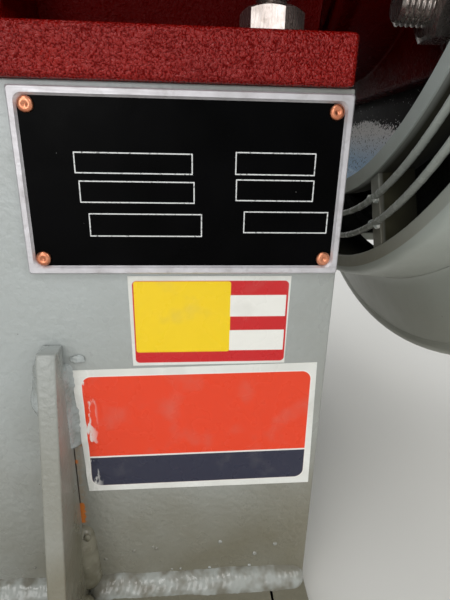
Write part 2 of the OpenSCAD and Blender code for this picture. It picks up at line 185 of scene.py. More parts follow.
def between(tree, value, low, high, out_low=0.0, out_high=1.0):
    """Spreads a value from low..high over out_low..out_high, and clamps it there."""
    made = add_node(
        tree, "ShaderNodeMapRange",
        Value=value, From_Min=low, From_Max=high, To_Min=out_low, To_Max=out_high,
    )
    return made.outputs["Result"]


def clouds(tree, where, cell, detail=2.0):
    """Soft patches from 0 to 1, for the two tones of a paint or metal."""
    return between(tree, grain(tree, where, cell, detail), 0.35, 0.65)


def uneven(tree, where, cell, low, high, detail=2.0):
    """A value that wanders from low to high over the surface."""
    return between(tree, grain(tree, where, cell, detail), 0.3, 0.7, low, high)


def mixed(tree, share, first, second):
    """A colour: the first where share is 0, the second where it is 1."""
    made = tree.nodes.new("ShaderNodeMix")
    made.data_type = "RGBA"
    for place, value in ((0, share), (6, first), (7, second)):
        feed(tree, made.inputs[place], value)
    return made.outputs[2]


def times(tree, first, *others):
    """The product of masks and numbers."""
    for other in others:
        first = sums(tree, "MULTIPLY", first, other)
    return first


def specks(tree, where, cell, size, share):
    """Mask of round dots, size metres in radius, in a share of the cells."""
    made = add_node(tree, "ShaderNodeTexVoronoi", Vector=where, Scale=1 / cell)
    chosen = add_node(tree, "ShaderNodeSeparateColor", Color=made.outputs["Color"]).outputs[0]
    dot = between(tree, made.outputs["Distance"], size / cell, 0.6 * size / cell)
    return times(tree, dot, sums(tree, "LESS_THAN", chosen, share))


def bumped(tree, height, depth, under=None):
    """The surface raised by height times depth metres, on top of another bump if one is given."""
    made = add_node(tree, "ShaderNodeBump", Height=height, Distance=depth, Strength=1.0)
    if under is not None:
        tree.links.new(under, made.inputs["Normal"])
    return made.outputs["Normal"]


def inside(tree, where, centre, half, corner=0.0, soft=0.0001, turn=0.0):
    """Mask of an upright rounded rectangle in X and Z, seen from the front."""
    moved = add_node(tree, "ShaderNodeMapping", {"vector_type": "TEXTURE"}, Vector=where)
    moved.inputs["Location"].default_value = (centre[0], 0.0, centre[1])
    moved.inputs["Rotation"].default_value = (0.0, turn, 0.0)
    steps = (
        ("ABSOLUTE", None),
        ("SUBTRACT", (half[0] - corner, 0.0, half[1] - corner)),
        ("MULTIPLY", (1.0, 0.0, 1.0)),
        ("MAXIMUM", (0.0, 0.0, 0.0)),
    )
    spot = moved.outputs[0]
    for operation, value in steps:
        step = tree.nodes.new("ShaderNodeVectorMath")
        step.operation = operation
        tree.links.new(spot, step.inputs[0])
        if value is not None:
            step.inputs[1].default_value = value
        spot = step.outputs[0]
    length = tree.nodes.new("ShaderNodeVectorMath")
    length.operation = "LENGTH"
    tree.links.new(spot, length.inputs[0])
    return between(tree, length.outputs["Value"], corner + soft, corner - soft)


def new_finish(name, metallic=0.0, **sockets):
    made = bpy.data.materials.new(name)
    made.use_nodes = True
    shader = made.node_tree.nodes["Principled BSDF"]
    shader.inputs["Metallic"].default_value = metallic
    for key, value in sockets.items():
        shader.inputs[key.replace("_", " ")].default_value = value
    return made, made.node_tree, shader


def finish_with(tree, shader, colour, roughness, normal):
    tree.links.new(colour, shader.inputs["Base Color"])
    tree.links.new(roughness, shader.inputs["Roughness"])
    tree.links.new(normal, shader.inputs["Normal"])


def seam_rust(tree, where, colour):
    """Rust beside the front gusset, in the open seam between its weld and the tack above."""
    ragged = between(tree, grain(tree, where, cell=0.0012, detail=4.0), 0.36, 0.50)
    halo = inside(
        tree, where, centre=(0.0068, 0.0600), half=(0.0012, 0.0180), corner=0.0012, soft=0.0012
    )
    under_tack = inside(
        tree, where, centre=(0.0080, 0.0770), half=(0.0030, 0.0006), corner=0.0006, soft=0.0005
    )
    open_seam = inside(
        tree, where, centre=(0.0060, 0.0645), half=(0.0002, 0.0130), corner=0.0002, soft=0.0001
    )
    dots = inside(
        tree, where, centre=(0.0064, 0.0700), half=(0.0004, 0.0008), corner=0.0004, soft=0.0003
    )
    spot = inside(
        tree, where, centre=(0.0064, 0.0470), half=(0.0012, 0.0048), corner=0.0009, soft=0.0009
    )
    spot = sums(tree, "MULTIPLY_ADD", grain(tree, where, cell=0.0013, detail=3.0), 1.2, spot)
    spot = between(tree, spot, 1.12, 1.34)
    colour = mixed(tree, times(tree, halo, ragged, 0.45), colour, linear(150, 120, 88))
    colour = mixed(tree, times(tree, under_tack, 0.8), colour, linear(150, 104, 62))
    colour = mixed(tree, open_seam, colour, linear(46, 34, 26))
    return mixed(tree, sums(tree, "MAXIMUM", dots, spot), colour, linear(190, 108, 44))


def plate_enamel(name, rusty):
    """Grey enamel, with painted shade darker and warmer towards the base plate and the right edge, and
    dustier on the ledges.
    """
    made, tree, shader = new_finish(name)
    where = object_place(tree)
    x, y, height = place_axes(tree, where)
    # painted shade: darker and warmer towards the base plate and towards the right edge
    low_shade = between(tree, height, 0.120, 0.015, 0.0, 0.85)
    right_edge_shade = between(tree, x, 0.035, 0.090, 0.0, 0.35)
    ledge_dust = between(tree, sums(tree, "ABSOLUTE", y), 0.1215, 0.126, 0.0, 0.3)
    # darkening joins that painted shade with dust on the ledges and a random wander
    darkening = sums(tree, "ADD", sums(tree, "ADD", low_shade, right_edge_shade), ledge_dust)
    darkening = sums(tree, "ADD", darkening, uneven(tree, where, 0.05, -0.2, 0.2, detail=3.0))
    smears = grain(tree, where, cell=0.03, detail=4.0, stretch=(1.0, 1.0, 0.35))
    smears = between(tree, smears, 0.52, 0.72, 0.0, 0.3)
    chips = specks(tree, where, cell=0.0075, size=0.00028, share=0.35)
    colour = mixed(tree, clouds(tree, where, 0.07), linear(172, 177, 176), linear(160, 164, 161))
    colour = mixed(tree, darkening, colour, linear(116, 112, 97))
    colour = mixed(tree, smears, colour, linear(138, 137, 128))
    colour = mixed(tree, chips, colour, linear(84, 78, 68))
    if rusty:
        colour = seam_rust(tree, where, colour)
    peel = bumped(tree, grain(tree, where, cell=0.03, detail=1.0), 0.0005)
    peel = bumped(tree, grain(tree, where, cell=0.0024), 0.00032, peel)
    peel = bumped(tree, grain(tree, where, cell=0.0008), 0.00004, peel)
    finish_with(tree, shader, colour, uneven(tree, where, 0.012, 0.24, 0.36, detail=3.0), peel)
    return made


def dress(names, finish, edge=0.0, steps=2, clamped=True):
    """Gives CAD nodes their finish, and edges rounded by edge metres."""
    for name in names:
        part = nodes[name]
        part.data.materials.clear()
        part.data.materials.append(finish)
        if edge:
            joined = part.modifiers.new("joined", "WELD")
            joined.merge_threshold = 2e-5
            eased = part.modifiers.new("eased", "BEVEL")
            eased.width = edge
            eased.segments = steps
            eased.limit_method = "ANGLE"
            eased.angle_limit = 0.7
            eased.use_clamp_overlap = clamped
            evened = part.modifiers.new("evened", "WEIGHTED_NORMAL")
            evened.keep_sharp = False


plate_edge = 0.0007
plain_plates = ["base_plate", "rear_plate", "top_plate", "front_gusset", "rear_gusset"]
dress(plain_plates, plate_enamel("grey_enamel", rusty=False), plate_edge)
dress(["front_plate"], plate_enamel("rusty_enamel", rusty=True), plate_edge)


# Weld beads: ripples of weld metal along the foot of each upright plate and beside the gussets,
# laid by hand and painted over, with small beads of spatter above them.
def add_piece(name, form, finishes, body="root", crease=0.6):
    """Makes a finished bmesh a piece of the part, riding on a body."""
    bmesh.ops.remove_doubles(form, verts=form.verts[:], dist=1e-7)
    bmesh.ops.recalc_face_normals(form, faces=form.faces[:])
    mesh = bpy.data.meshes.new(name)
    form.to_mesh(mesh)
    form.free()
    mesh.shade_smooth()
    mesh.set_sharp_from_angle(angle=crease)
    for finish in finishes:
        mesh.materials.append(finish)
    made = bpy.data.objects.new(name, mesh)
    bpy.context.scene.collection.objects.link(made)
    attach(made, body)
    return made


def bead(form, start, end, up, out, legs, swell, rough, seed):
    """A fillet of weld metal in the corner between up and out. Its leg runs through the values of
    legs, swell is 1 for a round, 0 for a flat and negative for a hollow bead."""
    row_step, columns, sunk = 0.0005, 13, 0.0003
    ripple_pitch, ripple_bow = 0.0023, 0.0030
    start, end, up, out = Vector(start), Vector(end), Vector(up), Vector(out)
    along = (end - start).normalized()
    length = (end - start).length
    rows = max(12, round(length / row_step))
    sheet = bmesh.ops.create_grid(form, x_segments=rows, y_segments=columns, size=0.5)
    for vert in sheet["verts"]:
        gone = (vert.co.x + 0.5) * length
        column = round((vert.co.y + 0.5) * columns)
        place = gone / length * (len(legs) - 1)
        before = min(len(legs) - 2, int(place))
        part = place - before
        leg = legs[before] + (legs[before + 1] - legs[before]) * part * part * (3 - 2 * part)
        if column in (0, columns):
            reach = -sunk
            angle = math.pi / 4
        else:
            share = (column - 1) / (columns - 2)
            angle = math.pi / 2 * (1.06 * share - 0.03)
            crescent = gone + ripple_bow * (2 * share - 1) ** 2
            wander = 1.5 * noise.noise((gone * 250, seed, 0.0))
            ripple = 0.3 * rough * math.sin(math.tau * crescent / ripple_pitch + wander)
            lump = 0.10 * noise.noise((gone * 120, seed, share))
            lump += rough * noise.noise((gone * 520, share * 4, seed))
            flat = 1 / (math.sin(angle) + math.cos(angle)) if 0 < angle < math.pi / 2 else 1.0
            reach = leg * (flat + swell * (1 - flat)) * (1 + ripple + lump)
        left = min(gone, length - gone)
        if left < leg:
            reach *= math.sqrt(max(0.0, 1 - (1 - left / leg) ** 2))
        vert.co = start + along * gone + up * (reach * math.sin(angle)) + out * (reach * math.cos(angle))
    bmesh.ops.remove_doubles(form, verts=sheet["verts"], dist=1e-6)


def drop(form, centre, size, seed):
    """A small lumpy bead of metal or paint."""
    ball = bmesh.ops.create_icosphere(form, subdivisions=3, radius=1.0)
    for vert in ball["verts"]:
        swell = 1 + 0.22 * noise.noise(vert.co * 1.7 + Vector((seed, 0.0, 0.0)))
        stretched = Vector((vert.co.x * size[0], vert.co.y * size[1], vert.co.z * size[2]))
        vert.co = Vector(centre) + stretched * swell


def weld_enamel(name, light, dark, gloss, cell, depth):
    """Paint on weld metal, its gloss broken up by small lumps."""
    made, tree, shader = new_finish(name)
    where = object_place(tree)
    patches = between(tree, grain(tree, where, cell=0.006), 0.4, 0.62)
    roughness = uneven(tree, where, 0.004, gloss - 0.05, gloss + 0.05)
    relief = bumped(tree, grain(tree, where, cell), depth)
    finish_with(tree, shader, mixed(tree, patches, light, dark), roughness, relief)
    return made


weld_paint = weld_enamel(
    "painted_weld", linear(152, 154, 148), linear(118, 115, 104), gloss=0.17, cell=0.0016, depth=0.00010
)
finger_paint = weld_enamel(
    "finger_weld", linear(128, 124, 108), linear(104, 100, 84), gloss=0.24, cell=0.0030, depth=0.00012
)
tack_enamel = weld_enamel(
    "tack_enamel", linear(162, 167, 165), linear(140, 143, 138), gloss=0.15, cell=0.0016, depth=0.00060
)
front_low, front_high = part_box("front_plate")
plate_face, plate_left, plate_right = front_low.y, front_low.x, front_high.x
base_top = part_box("base_plate")[1].z
gusset_low, gusset_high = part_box("front_gusset")
gusset_left, gusset_right = gusset_low.x, gusset_high.x
gusset_reach = plate_face - gusset_low.y
right_bead_top, left_bead_top = 0.0415, 0.0450
right_tack, right_tack_foot, left_tack = (0.0765, 0.1085), (0.0762, 0.0800), (0.0780, 0.1130)
spatter_count, spatter_inset, spatter_low, spatter_rise = 26, 0.006, 0.0068, 0.016
up, right, left = (0.0, 0.0, 1.0), (1.0, 0.0, 0.0), (-1.0, 0.0, 0.0)


def foot_weld(side, face, out):
    """The bead along the foot of an upright plate, on both sides of the gusset, and its spatter."""
    form = bmesh.new()
    bead(
        form, (plate_left, face, base_top), (gusset_left, face, base_top), up, out,
        legs=(0.0058, 0.0064, 0.0060), swell=0.8, rough=0.04, seed=1.0 + side,
    )
    bead(
        form, (gusset_right, face, base_top), (plate_right, face, base_top), up, out,
        legs=(0.0062, 0.0058, 0.0064, 0.0060), swell=0.8, rough=0.04, seed=5.0 + side,
    )
    for place in range(spatter_count):
        spread = noise.cell_vector(Vector((place + 0.5, side, 0.5)))
        x = plate_left + spatter_inset + (plate_right - plate_left - 2 * spatter_inset) * spread.x
        if gusset_left - 0.004 < x < gusset_right + 0.006:
            continue
        r = 0.0004 + 0.0005 * spread.z
        height = base_top + spatter_low + spatter_rise * spread.y ** 2
        drop(form, (x, face, height), size=(r, 0.55 * r, r), seed=place)
    return form


def gusset_welds(side, face, out):
    """Smooth beads up both sides of the gusset's foot and along the base plate beside it."""
    form = bmesh.new()
    low = base_top + 0.001
    near, tip = face + side * 0.004, face + side * (gusset_reach - 0.001)
    bead(
        form, (gusset_right, face, low), (gusset_right, face, right_bead_top), out, right,
        legs=(0.0050, 0.0052, 0.0046, 0.0036), swell=1.0, rough=0.012, seed=13.0,
    )
    drop(
        form, (gusset_right + 0.0022, face + side * 0.0034, 0.0388),
        size=(0.0013, 0.0008, 0.0016), seed=5.0,
    )
    bead(
        form, (gusset_left, face, low), (gusset_left, face, left_bead_top), out, left,
        legs=(0.0045, 0.0042), swell=0.8, rough=0.04, seed=21.0,
    )
    for x, away, seed in ((gusset_right, right, 25.0), (gusset_left, left, 29.0)):
        bead(
            form, (x, near, base_top), (x, tip, base_top), up, away,
            legs=(0.0036, 0.0032), swell=0.8, rough=0.04, seed=seed,
        )
    return form


def gusset_tacks(side, face, out):
    """Short tacks on both sides of the gusset's top, with a flat lump at the end of one."""
    form = bmesh.new()
    bead(
        form, (gusset_right, face, right_tack[0]), (gusset_right, face, right_tack[1]), out, right,
        legs=(0.0036, 0.0034, 0.0029, 0.0026), swell=-0.6, rough=0.14, seed=9.0,
    )
    bead(
        form, (gusset_right, face, right_tack_foot[0]), (gusset_right, face, right_tack_foot[1]), out, right,
        legs=(0.0034, 0.0040), swell=0.4, rough=0.03, seed=33.0,
    )
    bead(
        form, (gusset_left, face, left_tack[0]), (gusset_left, face, left_tack[1]), out, left,
        legs=(0.0012, 0.0034, 0.0062, 0.0044, 0.0026), swell=0.6, rough=0.0, seed=17.0,
    )
    drop(
        form, (gusset_right + 0.0042, face + side * 0.0004, 0.1100),
        size=(0.0026, 0.0009, 0.0014), seed=3.0,
    )
    return form


for side, end, face in ((-1.0, "front", plate_face), (1.0, "rear", -plate_face)):
    out = (0.0, side, 0.0)
    made = add_piece(end + "_foot_weld", foot_weld(side, face, out), [weld_paint])
    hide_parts(end + "_weld")
    add_piece(end + "_gusset_welds", gusset_welds(side, face, out), [finger_paint])
    add_piece(end + "_gusset_tacks", gusset_tacks(side, face, out), [tack_enamel])


# Motor: a cast iron frame with feet, cooling fins and two flanged end shields, left as cast and
# painted red. The sand of the mould shows as coarse pebbles under the gloss.
foot_thick = 0.013
foot_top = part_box("top_plate")[1].z + foot_thick


def lumps(tree, where, cell):
    """Rounded lumps of a cast surface with sharp creases between them, 0 in the creases."""
    return sums(tree, "ABSOLUTE", sums(tree, "MULTIPLY_ADD", grain(tree, where, cell, 1.5), 4.0, -2.0))


def shade_under_motor(tree, where):
    """Mask of painted shade low on the motor, where the frame shades it: behind the feet, and on the shields
    beside them.
    """
    x, y, z = place_axes(tree, where)
    low = between(tree, z, 0.290, 0.240)
    beside_feet = sums(tree, "GREATER_THAN", sums(tree, "ABSOLUTE", x), 0.0905)
    behind_edge = between(tree, sums(tree, "ABSOLUTE", y), 0.121, 0.112)
    above_feet = between(tree, z, foot_top + 0.001, foot_top + 0.005)
    return times(tree, low, sums(tree, "MAXIMUM", beside_feet, times(tree, behind_edge, above_feet)))


def cast_enamel(name, colours, lump, depth, pit_shade, gloss, shine=0.5, tint=(1.0, 1.0, 1.0, 1.0), shaded=False):
    """Enamel on a sand casting with lumps of so many metres. The colours are two tones and the
    pits' painted shade, and shine fades in the pits and, if shaded, in the painted shade low on the motor."""
    made, tree, shader = new_finish(name, Specular_IOR_Level=shine, Specular_Tint=tint)
    where = object_place(tree)
    coarse = times(tree, lumps(tree, where, lump), 0.5)
    fine = times(tree, grain(tree, where, 0.55 * lump), 0.5)
    relief = sums(tree, "ADD", coarse, fine)
    matt = between(tree, relief, 0.42, 0.24)
    colour = mixed(tree, clouds(tree, where, 0.05), colours[0], colours[1])
    # painted shade darkens the creases between the lumps
    colour = mixed(tree, times(tree, matt, pit_shade), colour, colours[2])
    if shaded:
        under = shade_under_motor(tree, where)
        # painted shade: dark red low behind the feet and on the shields beside them, where the shine fades
        # too
        colour = mixed(tree, under, colour, linear(68, 7, 4))
        matt = sums(tree, "MAXIMUM", matt, under)
    feed(tree, shader.inputs["Specular IOR Level"], between(tree, matt, 0.0, 1.0, shine, 0.05))
    roughness = uneven(tree, where, 0.006, gloss - 0.07, gloss + 0.07, detail=3.0)
    normal = bumped(tree, grain(tree, where, 9 * lump, 1.0), 2.0 * depth)
    finish_with(tree, shader, colour, roughness, bumped(tree, relief, depth, normal))
    return made


cast_red = cast_enamel(
    "cast_red", (linear(146, 20, 8), linear(122, 12, 4), linear(74, 6, 2)),
    lump=0.0010, depth=0.00050, pit_shade=0.8, gloss=0.20, shine=0.55, tint=(1.0, 0.60, 0.60, 1.0), shaded=True,
)
shield_red = cast_enamel(
    "shield_red", (linear(150, 22, 12), linear(130, 13, 6), linear(84, 6, 2)),
    lump=0.0010, depth=0.00034, pit_shade=0.5, gloss=0.24, shine=0.16, tint=(1.0, 0.50, 0.50, 1.0), shaded=True,
)
dress(["motor_frame"], cast_red, edge=0.0017, steps=3, clamped=False)
dress(["right_end_shield", "left_end_shield"], shield_red, edge=0.0012, steps=3)


# Terminal box: a cast box on the motor's top with a screwed lid, a cable gland of nickelled
# brass in its side, and beside it the forged eye bolt that the motor is lifted by.
def turned(form, around, rings, place):
    """A closed round form along Z. A ring is a radius and height, or gives them by the angle."""
    sheet = bmesh.ops.create_grid(form, x_segments=around, y_segments=len(rings) - 1, size=0.5)
    for vert in sheet["verts"]:
        angle = math.tau * (vert.co.x + 0.5)
        ring = rings[round((vert.co.y + 0.5) * (len(rings) - 1))]
        radius, height = ring(angle) if callable(ring) else ring
        vert.co = place @ Vector((radius * math.cos(angle), radius * math.sin(angle), height))
    bmesh.ops.remove_doubles(form, verts=sheet["verts"], dist=1e-7)


def facing(spot, direction, turn=0.0):
    """The place of a turned form that stands at a spot and points along a direction."""
    aim = Vector(direction).to_track_quat("Z", "Y").to_matrix().to_4x4()
    return Matrix.Translation(Vector(spot)) @ aim @ Matrix.Rotation(turn, 4, "Z")


def bright_metal(name, colours, roughness, streak, stretch, stain=0.0, metallic=1.0):
    """Bare or plated metal with fine tool marks, and brown stains if stain is above 0."""
    made, tree, shader = new_finish(name, metallic)
    where = object_place(tree)
    colour = mixed(tree, clouds(tree, where, 0.006, detail=3.0), colours[0], colours[1])
    if stain:
        stained = between(tree, grain(tree, where, cell=0.0025, detail=4.0), 0.56, 0.70, 0.0, stain)
        colour = mixed(tree, stained, colour, linear(96, 84, 70))
    marks = grain(tree, where, streak, 3.0, stretch)
    rough = between(tree, marks, 0.3, 0.7, roughness - 0.08, roughness + 0.10)
    finish_with(tree, shader, colour, rough, bumped(tree, marks, 0.00004))
    return made


zinc = bright_metal(
    "zinc", (linear(172, 164, 160), linear(146, 137, 132)),
    roughness=0.23, streak=0.0007, stretch=(1.0, 1.0, 0.15), stain=0.35, metallic=0.9,
)
nickel = bright_metal(
    "nickel", (linear(206, 200, 186), linear(190, 182, 166)),
    roughness=0.26, streak=0.0012, stretch=(1.0, 1.0, 1.0),
)
dress(["terminal_box", "terminal_lid"], cast_red, edge=0.0018, steps=3)
dress(["cable_gland"], nickel, edge=0.0005)
dress(["lifting_eye"], zinc, edge=0.0005)
screw_inset, screw_sink = 0.010, 0.0022
screw_profile = [
    (0.0, -0.0012), (0.0040, -0.0012), (0.0040, 0.0014), (0.0034, 0.0024),
    (0.0021, 0.0022), (0.0020, 0.0002), (0.0, 0.0002),
]
lid_low, lid_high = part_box("terminal_lid")
form = bmesh.new()
for x in (lid_low.x + screw_inset, lid_high.x - screw_inset):
    for y in (lid_low.y + screw_inset, lid_high.y - screw_inset):
        turned(form, 24, screw_profile, facing((x, y, lid_high.z - screw_sink), (0, 0, 1)))
add_piece("lid_screws", form, [zinc], crease=0.5)


# Foot and flange fasteners: zinc-plated studs with rolled threads, plain washers and chamfered
# hexagon nuts. M10 studs hold the feet to the top plate, M12 studs hold each head to its flange.
def thread_rings(radius, pitch, low, high):
    """Rings of a rolled thread from low to high, with a chamfered point at the high end."""
    depth = 0.58 * pitch
    count = round((high - low) / (pitch / 7))

    def ring(height):
        def at(angle):
            phase = (height / pitch - angle / math.tau) % 1.0
            valley = min(1.0, max(0.0, 2.6 * abs(phase - 0.5) - 0.15))
            crest = radius - depth * (1.0 - valley)
            return min(crest, radius - depth - 0.0002 + (high - height)), height
        return at

    heights = [low + (high - low) * step / count for step in range(count + 1)]
    return [(0.0, low)] + [ring(height) for height in heights] + [(0.0, high)]


def nut_rings(flats, low, high):
    """Rings of a hexagon nut whose corners are chamfered at both ends."""
    face = 0.455 * flats

    def hexagon(angle):
        return flats / 2 / math.cos((angle + math.pi / 6) % (math.pi / 3) - math.pi / 6)

    def lower(angle):
        return hexagon(angle), low + 0.55 * (hexagon(angle) - face)

    def upper(angle):
        return hexagon(angle), high - 0.55 * (hexagon(angle) - face)

    return [(0.0, low), (face, low), lower, upper, (face, high), (0.0, high)]


def washer_rings(radius, low, high):
    ease = 0.2 * (high - low)
    rim = [(radius - ease, low), (radius, low + ease), (radius, high - ease), (radius - ease, high)]
    return [(0.0, low)] + rim + [(0.0, high)]


def studs(name, spots, direction, turn, size, pitch, flats, nut, washer, out, back, back_nut=None):
    """Studs at the spots, each with a washer and nut, that reach out on this side and back
    behind. They have a thread and nut there too if the nut's distance is given."""
    form = bmesh.new()
    for number, spot in enumerate(spots):
        place = facing(spot, direction, turn + 0.35 * math.sin(7.0 * number))
        turned(form, 32, washer_rings(1.05 * size, 0.0, washer), place)
        turned(form, 48, nut_rings(flats, washer, washer + nut), place)
        turned(form, 32, thread_rings(size / 2, pitch, washer, out), place)
        under = facing(spot, direction) @ Matrix.Rotation(math.pi, 4, "X")
        if back_nut is None:
            turned(form, 32, [(0.0, 0.0), (size / 2, 0.0), (size / 2, back), (0.0, back)], under)
        else:
            turned(form, 48, nut_rings(flats, back_nut, back_nut + nut), under)
            turned(form, 32, thread_rings(size / 2, pitch, 0.0, back), under)
    made = add_piece(name + "_threaded", form, [zinc], crease=0.42)
    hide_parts(name)


foot_bolt_x, foot_bolt_y = 0.071, 0.095
foot_spots = [
    (x, y, foot_top) for x in (-foot_bolt_x, foot_bolt_x) for y in (-foot_bolt_y, foot_bolt_y)
]
studs(
    "foot_studs", foot_spots, (0, 0, 1), turn=-0.11, size=0.010, pitch=0.0015,
    flats=0.017, nut=0.0084, washer=0.0016, out=0.020, back=0.033, back_nut=0.021,
)
axis_z = 0.302
flange_back, stud_circle, first_stud = 0.131, 0.127, 47.5
for side, name in ((1, "right_flange_studs"), (-1, "left_flange_studs")):
    spots = []
    for quarter in range(4):
        angle = math.radians(first_stud + 90 * quarter)
        y, z = stud_circle * math.sin(angle), axis_z + stud_circle * math.cos(angle)
        spots.append((side * flange_back, y, z))
    studs(
        name, spots, (-side, 0, 0), turn=0.21, size=0.012, pitch=0.00175,
        flats=0.019, nut=0.0100, washer=0.0017, out=0.0215, back=0.016,
    )


# Sound heads: aluminium castings in grey enamel. Each has a dish on the motor flange, a spoked
# intake ring with a flare, a ported stator and a spoked front casting with the mouth flare.
# The recess round the flange is bare metal with overspray; the dark band beside the flange is
# partly a painted shadow and the blue tone low down a painted reflection. Painted shade darkens
# the lower part and the inside.
def within(tree, value, low, high):
    """Mask, 1 where a value is above low and below high."""
    return times(tree, sums(tree, "GREATER_THAN", value, low), sums(tree, "LESS_THAN", value, high))


intake_face, mouth_face = 0.120, 0.234
lip_radius, window_low, window_high = 0.147, 0.150, 0.184
hair = 0.0002


def head_enamel(name, bare_recess):
    """Grey enamel with painted shade, darker below and almost black inside the head."""
    made, tree, shader = new_finish(name)
    where = object_place(tree)
    x, y, z = place_axes(tree, where)
    away = sums(tree, "ABSOLUTE", x)
    beside = sums(tree, "ABSOLUTE", y)
    across = sums(tree, "ABSOLUTE", sums(tree, "SUBTRACT", z, axis_z))
    squared = sums(tree, "ADD", times(tree, y, y), times(tree, across, across))
    radius = sums(tree, "SQRT", squared)

    # painted shade on the intake face low down, on the whole lower part and on the spokes behind the wires
    ragged_z = sums(tree, "ADD", z, times(tree, grain(tree, where, cell=0.03, detail=3.0), 0.05))
    face_shade = between(tree, ragged_z, 0.215, 0.150, 0.0, 0.75)
    on_face = times(
        tree, sums(tree, "LESS_THAN", away, 0.1225), sums(tree, "LESS_THAN", radius, 0.1885)
    )
    low_shade = between(tree, z, 0.180, 0.100, 0.0, 0.60)
    recess_shade = times(
        tree, within(tree, away, 0.1208, 0.150), within(tree, radius, window_low, window_high), 0.5
    )
    colour = mixed(tree, clouds(tree, where, 0.05), linear(186, 194, 190), linear(172, 180, 175))
    colour = mixed(tree, times(tree, face_shade, on_face), colour, linear(118, 112, 94))
    colour = mixed(tree, low_shade, colour, linear(124, 116, 94))
    colour = mixed(tree, recess_shade, colour, linear(72, 64, 50))

    # flecks of dirt and of the motor's red paint
    dirt = specks(tree, where, cell=0.0060, size=0.00025, share=0.30)
    red_fleck = specks(tree, where, cell=0.0150, size=0.00050, share=0.10)
    colour = mixed(tree, dirt, colour, linear(70, 66, 58))
    colour = mixed(tree, red_fleck, colour, linear(178, 30, 34))

    # deep_shade is 1 on the walls inside the head, which get painted shade: between its two faces, within
    # the windows' outer edge
    from_intake = between(tree, away, intake_face + 0.0016, intake_face + 0.0036)
    from_mouth = between(tree, away, mouth_face - 0.0015, mouth_face - 0.0035)
    middle = within(tree, away, intake_face + 0.021, mouth_face - 0.021)
    edge = sums(tree, "MULTIPLY_ADD", middle, 0.003, window_high)
    within_edge = between(tree, sums(tree, "SUBTRACT", radius, edge), 0.0005, -0.0005)
    front_dish = times(
        tree, sums(tree, "LESS_THAN", radius, lip_radius + hair), sums(tree, "GREATER_THAN", away, 0.2085)
    )
    deep_shade = times(tree, from_intake, from_mouth, within_edge, sums(tree, "SUBTRACT", 1.0, front_dish))
    matt = deep_shade

    if bare_recess:
        # overspray covers the recess near the shaft and thins out to bare metal towards the lip; its dense
        # dark band beside the flange is partly painted shadow of the flange
        behind_lip = sums(tree, "LESS_THAN", radius, lip_radius - hair)
        bare = times(tree, behind_lip, sums(tree, "GREATER_THAN", away, intake_face + 0.0008))
        deep_shade = times(tree, deep_shade, sums(tree, "GREATER_THAN", radius, lip_radius - hair))
        start = sums(tree, "SUBTRACT", across, sums(tree, "MULTIPLY_ADD", beside, 0.03, 0.1150))
        clear = sums(tree, "DIVIDE", start, sums(tree, "MULTIPLY_ADD", beside, 0.16, 0.0015))
        limit = between(tree, clear, 0.0, 1.0, 0.25, 0.66)
        overspray_and_shadow = sums(tree, "GREATER_THAN", grain(tree, where, cell=0.0009, detail=1.0), limit)
        # painted reflection: the bare metal is painted almost white, turning blue low down as if it mirrored
        # a bright sky
        blue_reflection = between(tree, across, 0.122, 0.136)
        metal = mixed(tree, blue_reflection, linear(250, 246, 244), linear(204, 228, 250))
        colour = mixed(tree, bare, colour, metal)
        colour = mixed(tree, times(tree, bare, overspray_and_shadow), colour, linear(16, 13, 12))
        matt = bare

    to_intake = sums(tree, "SUBTRACT", away, intake_face)
    to_mouth = sums(tree, "SUBTRACT", mouth_face, away)
    depth = sums(tree, "MINIMUM", to_intake, to_mouth)
    # painted shade inside the head, darker with depth from either face
    dark = mixed(tree, between(tree, depth, 0.004, 0.022), linear(58, 56, 43), linear(14, 14, 11))
    colour = mixed(tree, times(tree, deep_shade, 0.97), colour, dark)
    rough = uneven(tree, where, 0.006, 0.34, 0.42, detail=3.0)
    rough = sums(tree, "MULTIPLY_ADD", deep_shade, 0.6, rough)
    feed(tree, shader.inputs["Specular IOR Level"], between(tree, matt, 0.0, 1.0, 0.5, 0.06))
    normal = bumped(tree, grain(tree, where, cell=0.014, detail=1.0), 0.00010)
    normal = bumped(tree, grain(tree, where, cell=0.0016, detail=1.0), 0.00002, normal)
    finish_with(tree, shader, colour, rough, normal)
    return made


cast_grey = head_enamel("cast_grey", bare_recess=False)
dish_grey = head_enamel("dish_grey", bare_recess=True)
head_edge = 0.0008
for side in ("right_", "left_"):
    for casting in ("intake_spokes", "intake_ring", "rear_flare", "stator", "head_front", "cap"):
        dress([side + casting], cast_grey, head_edge)
    dress([side + "head_back"], dish_grey, head_edge)


# Guard wires: two round steel rings over each intake, tacked to the spokes by blobs of weld and
# painted with the head.
first_spoke, spoke_step = 25, 45
inner_wire, outer_wire = 0.163, 0.1735
tack_lean, big_tack, small_tack, tack_tall, tack_sink = 0.0024, 0.0017, 0.0014, 0.0018, 0.0008


def tack_blobs(face_x, outward):
    """A large and a small blob on either side of a wire, at each spoke."""
    form = bmesh.new()
    for spoke in range(8):
        angle = math.radians(first_spoke + spoke_step * spoke)
        for radius in (inner_wire, outer_wire):
            for lean, size in ((-tack_lean, big_tack), (tack_lean, small_tack)):
                y = (radius + 0.4 * lean) * math.sin(angle) + lean * math.cos(angle)
                z = axis_z + (radius + 0.4 * lean) * math.cos(angle) - lean * math.sin(angle)
                centre = (face_x - outward * tack_sink, y, z)
                drop(form, centre, (tack_tall, size, size), seed=spoke + radius * 90 + lean * 900)
    return form


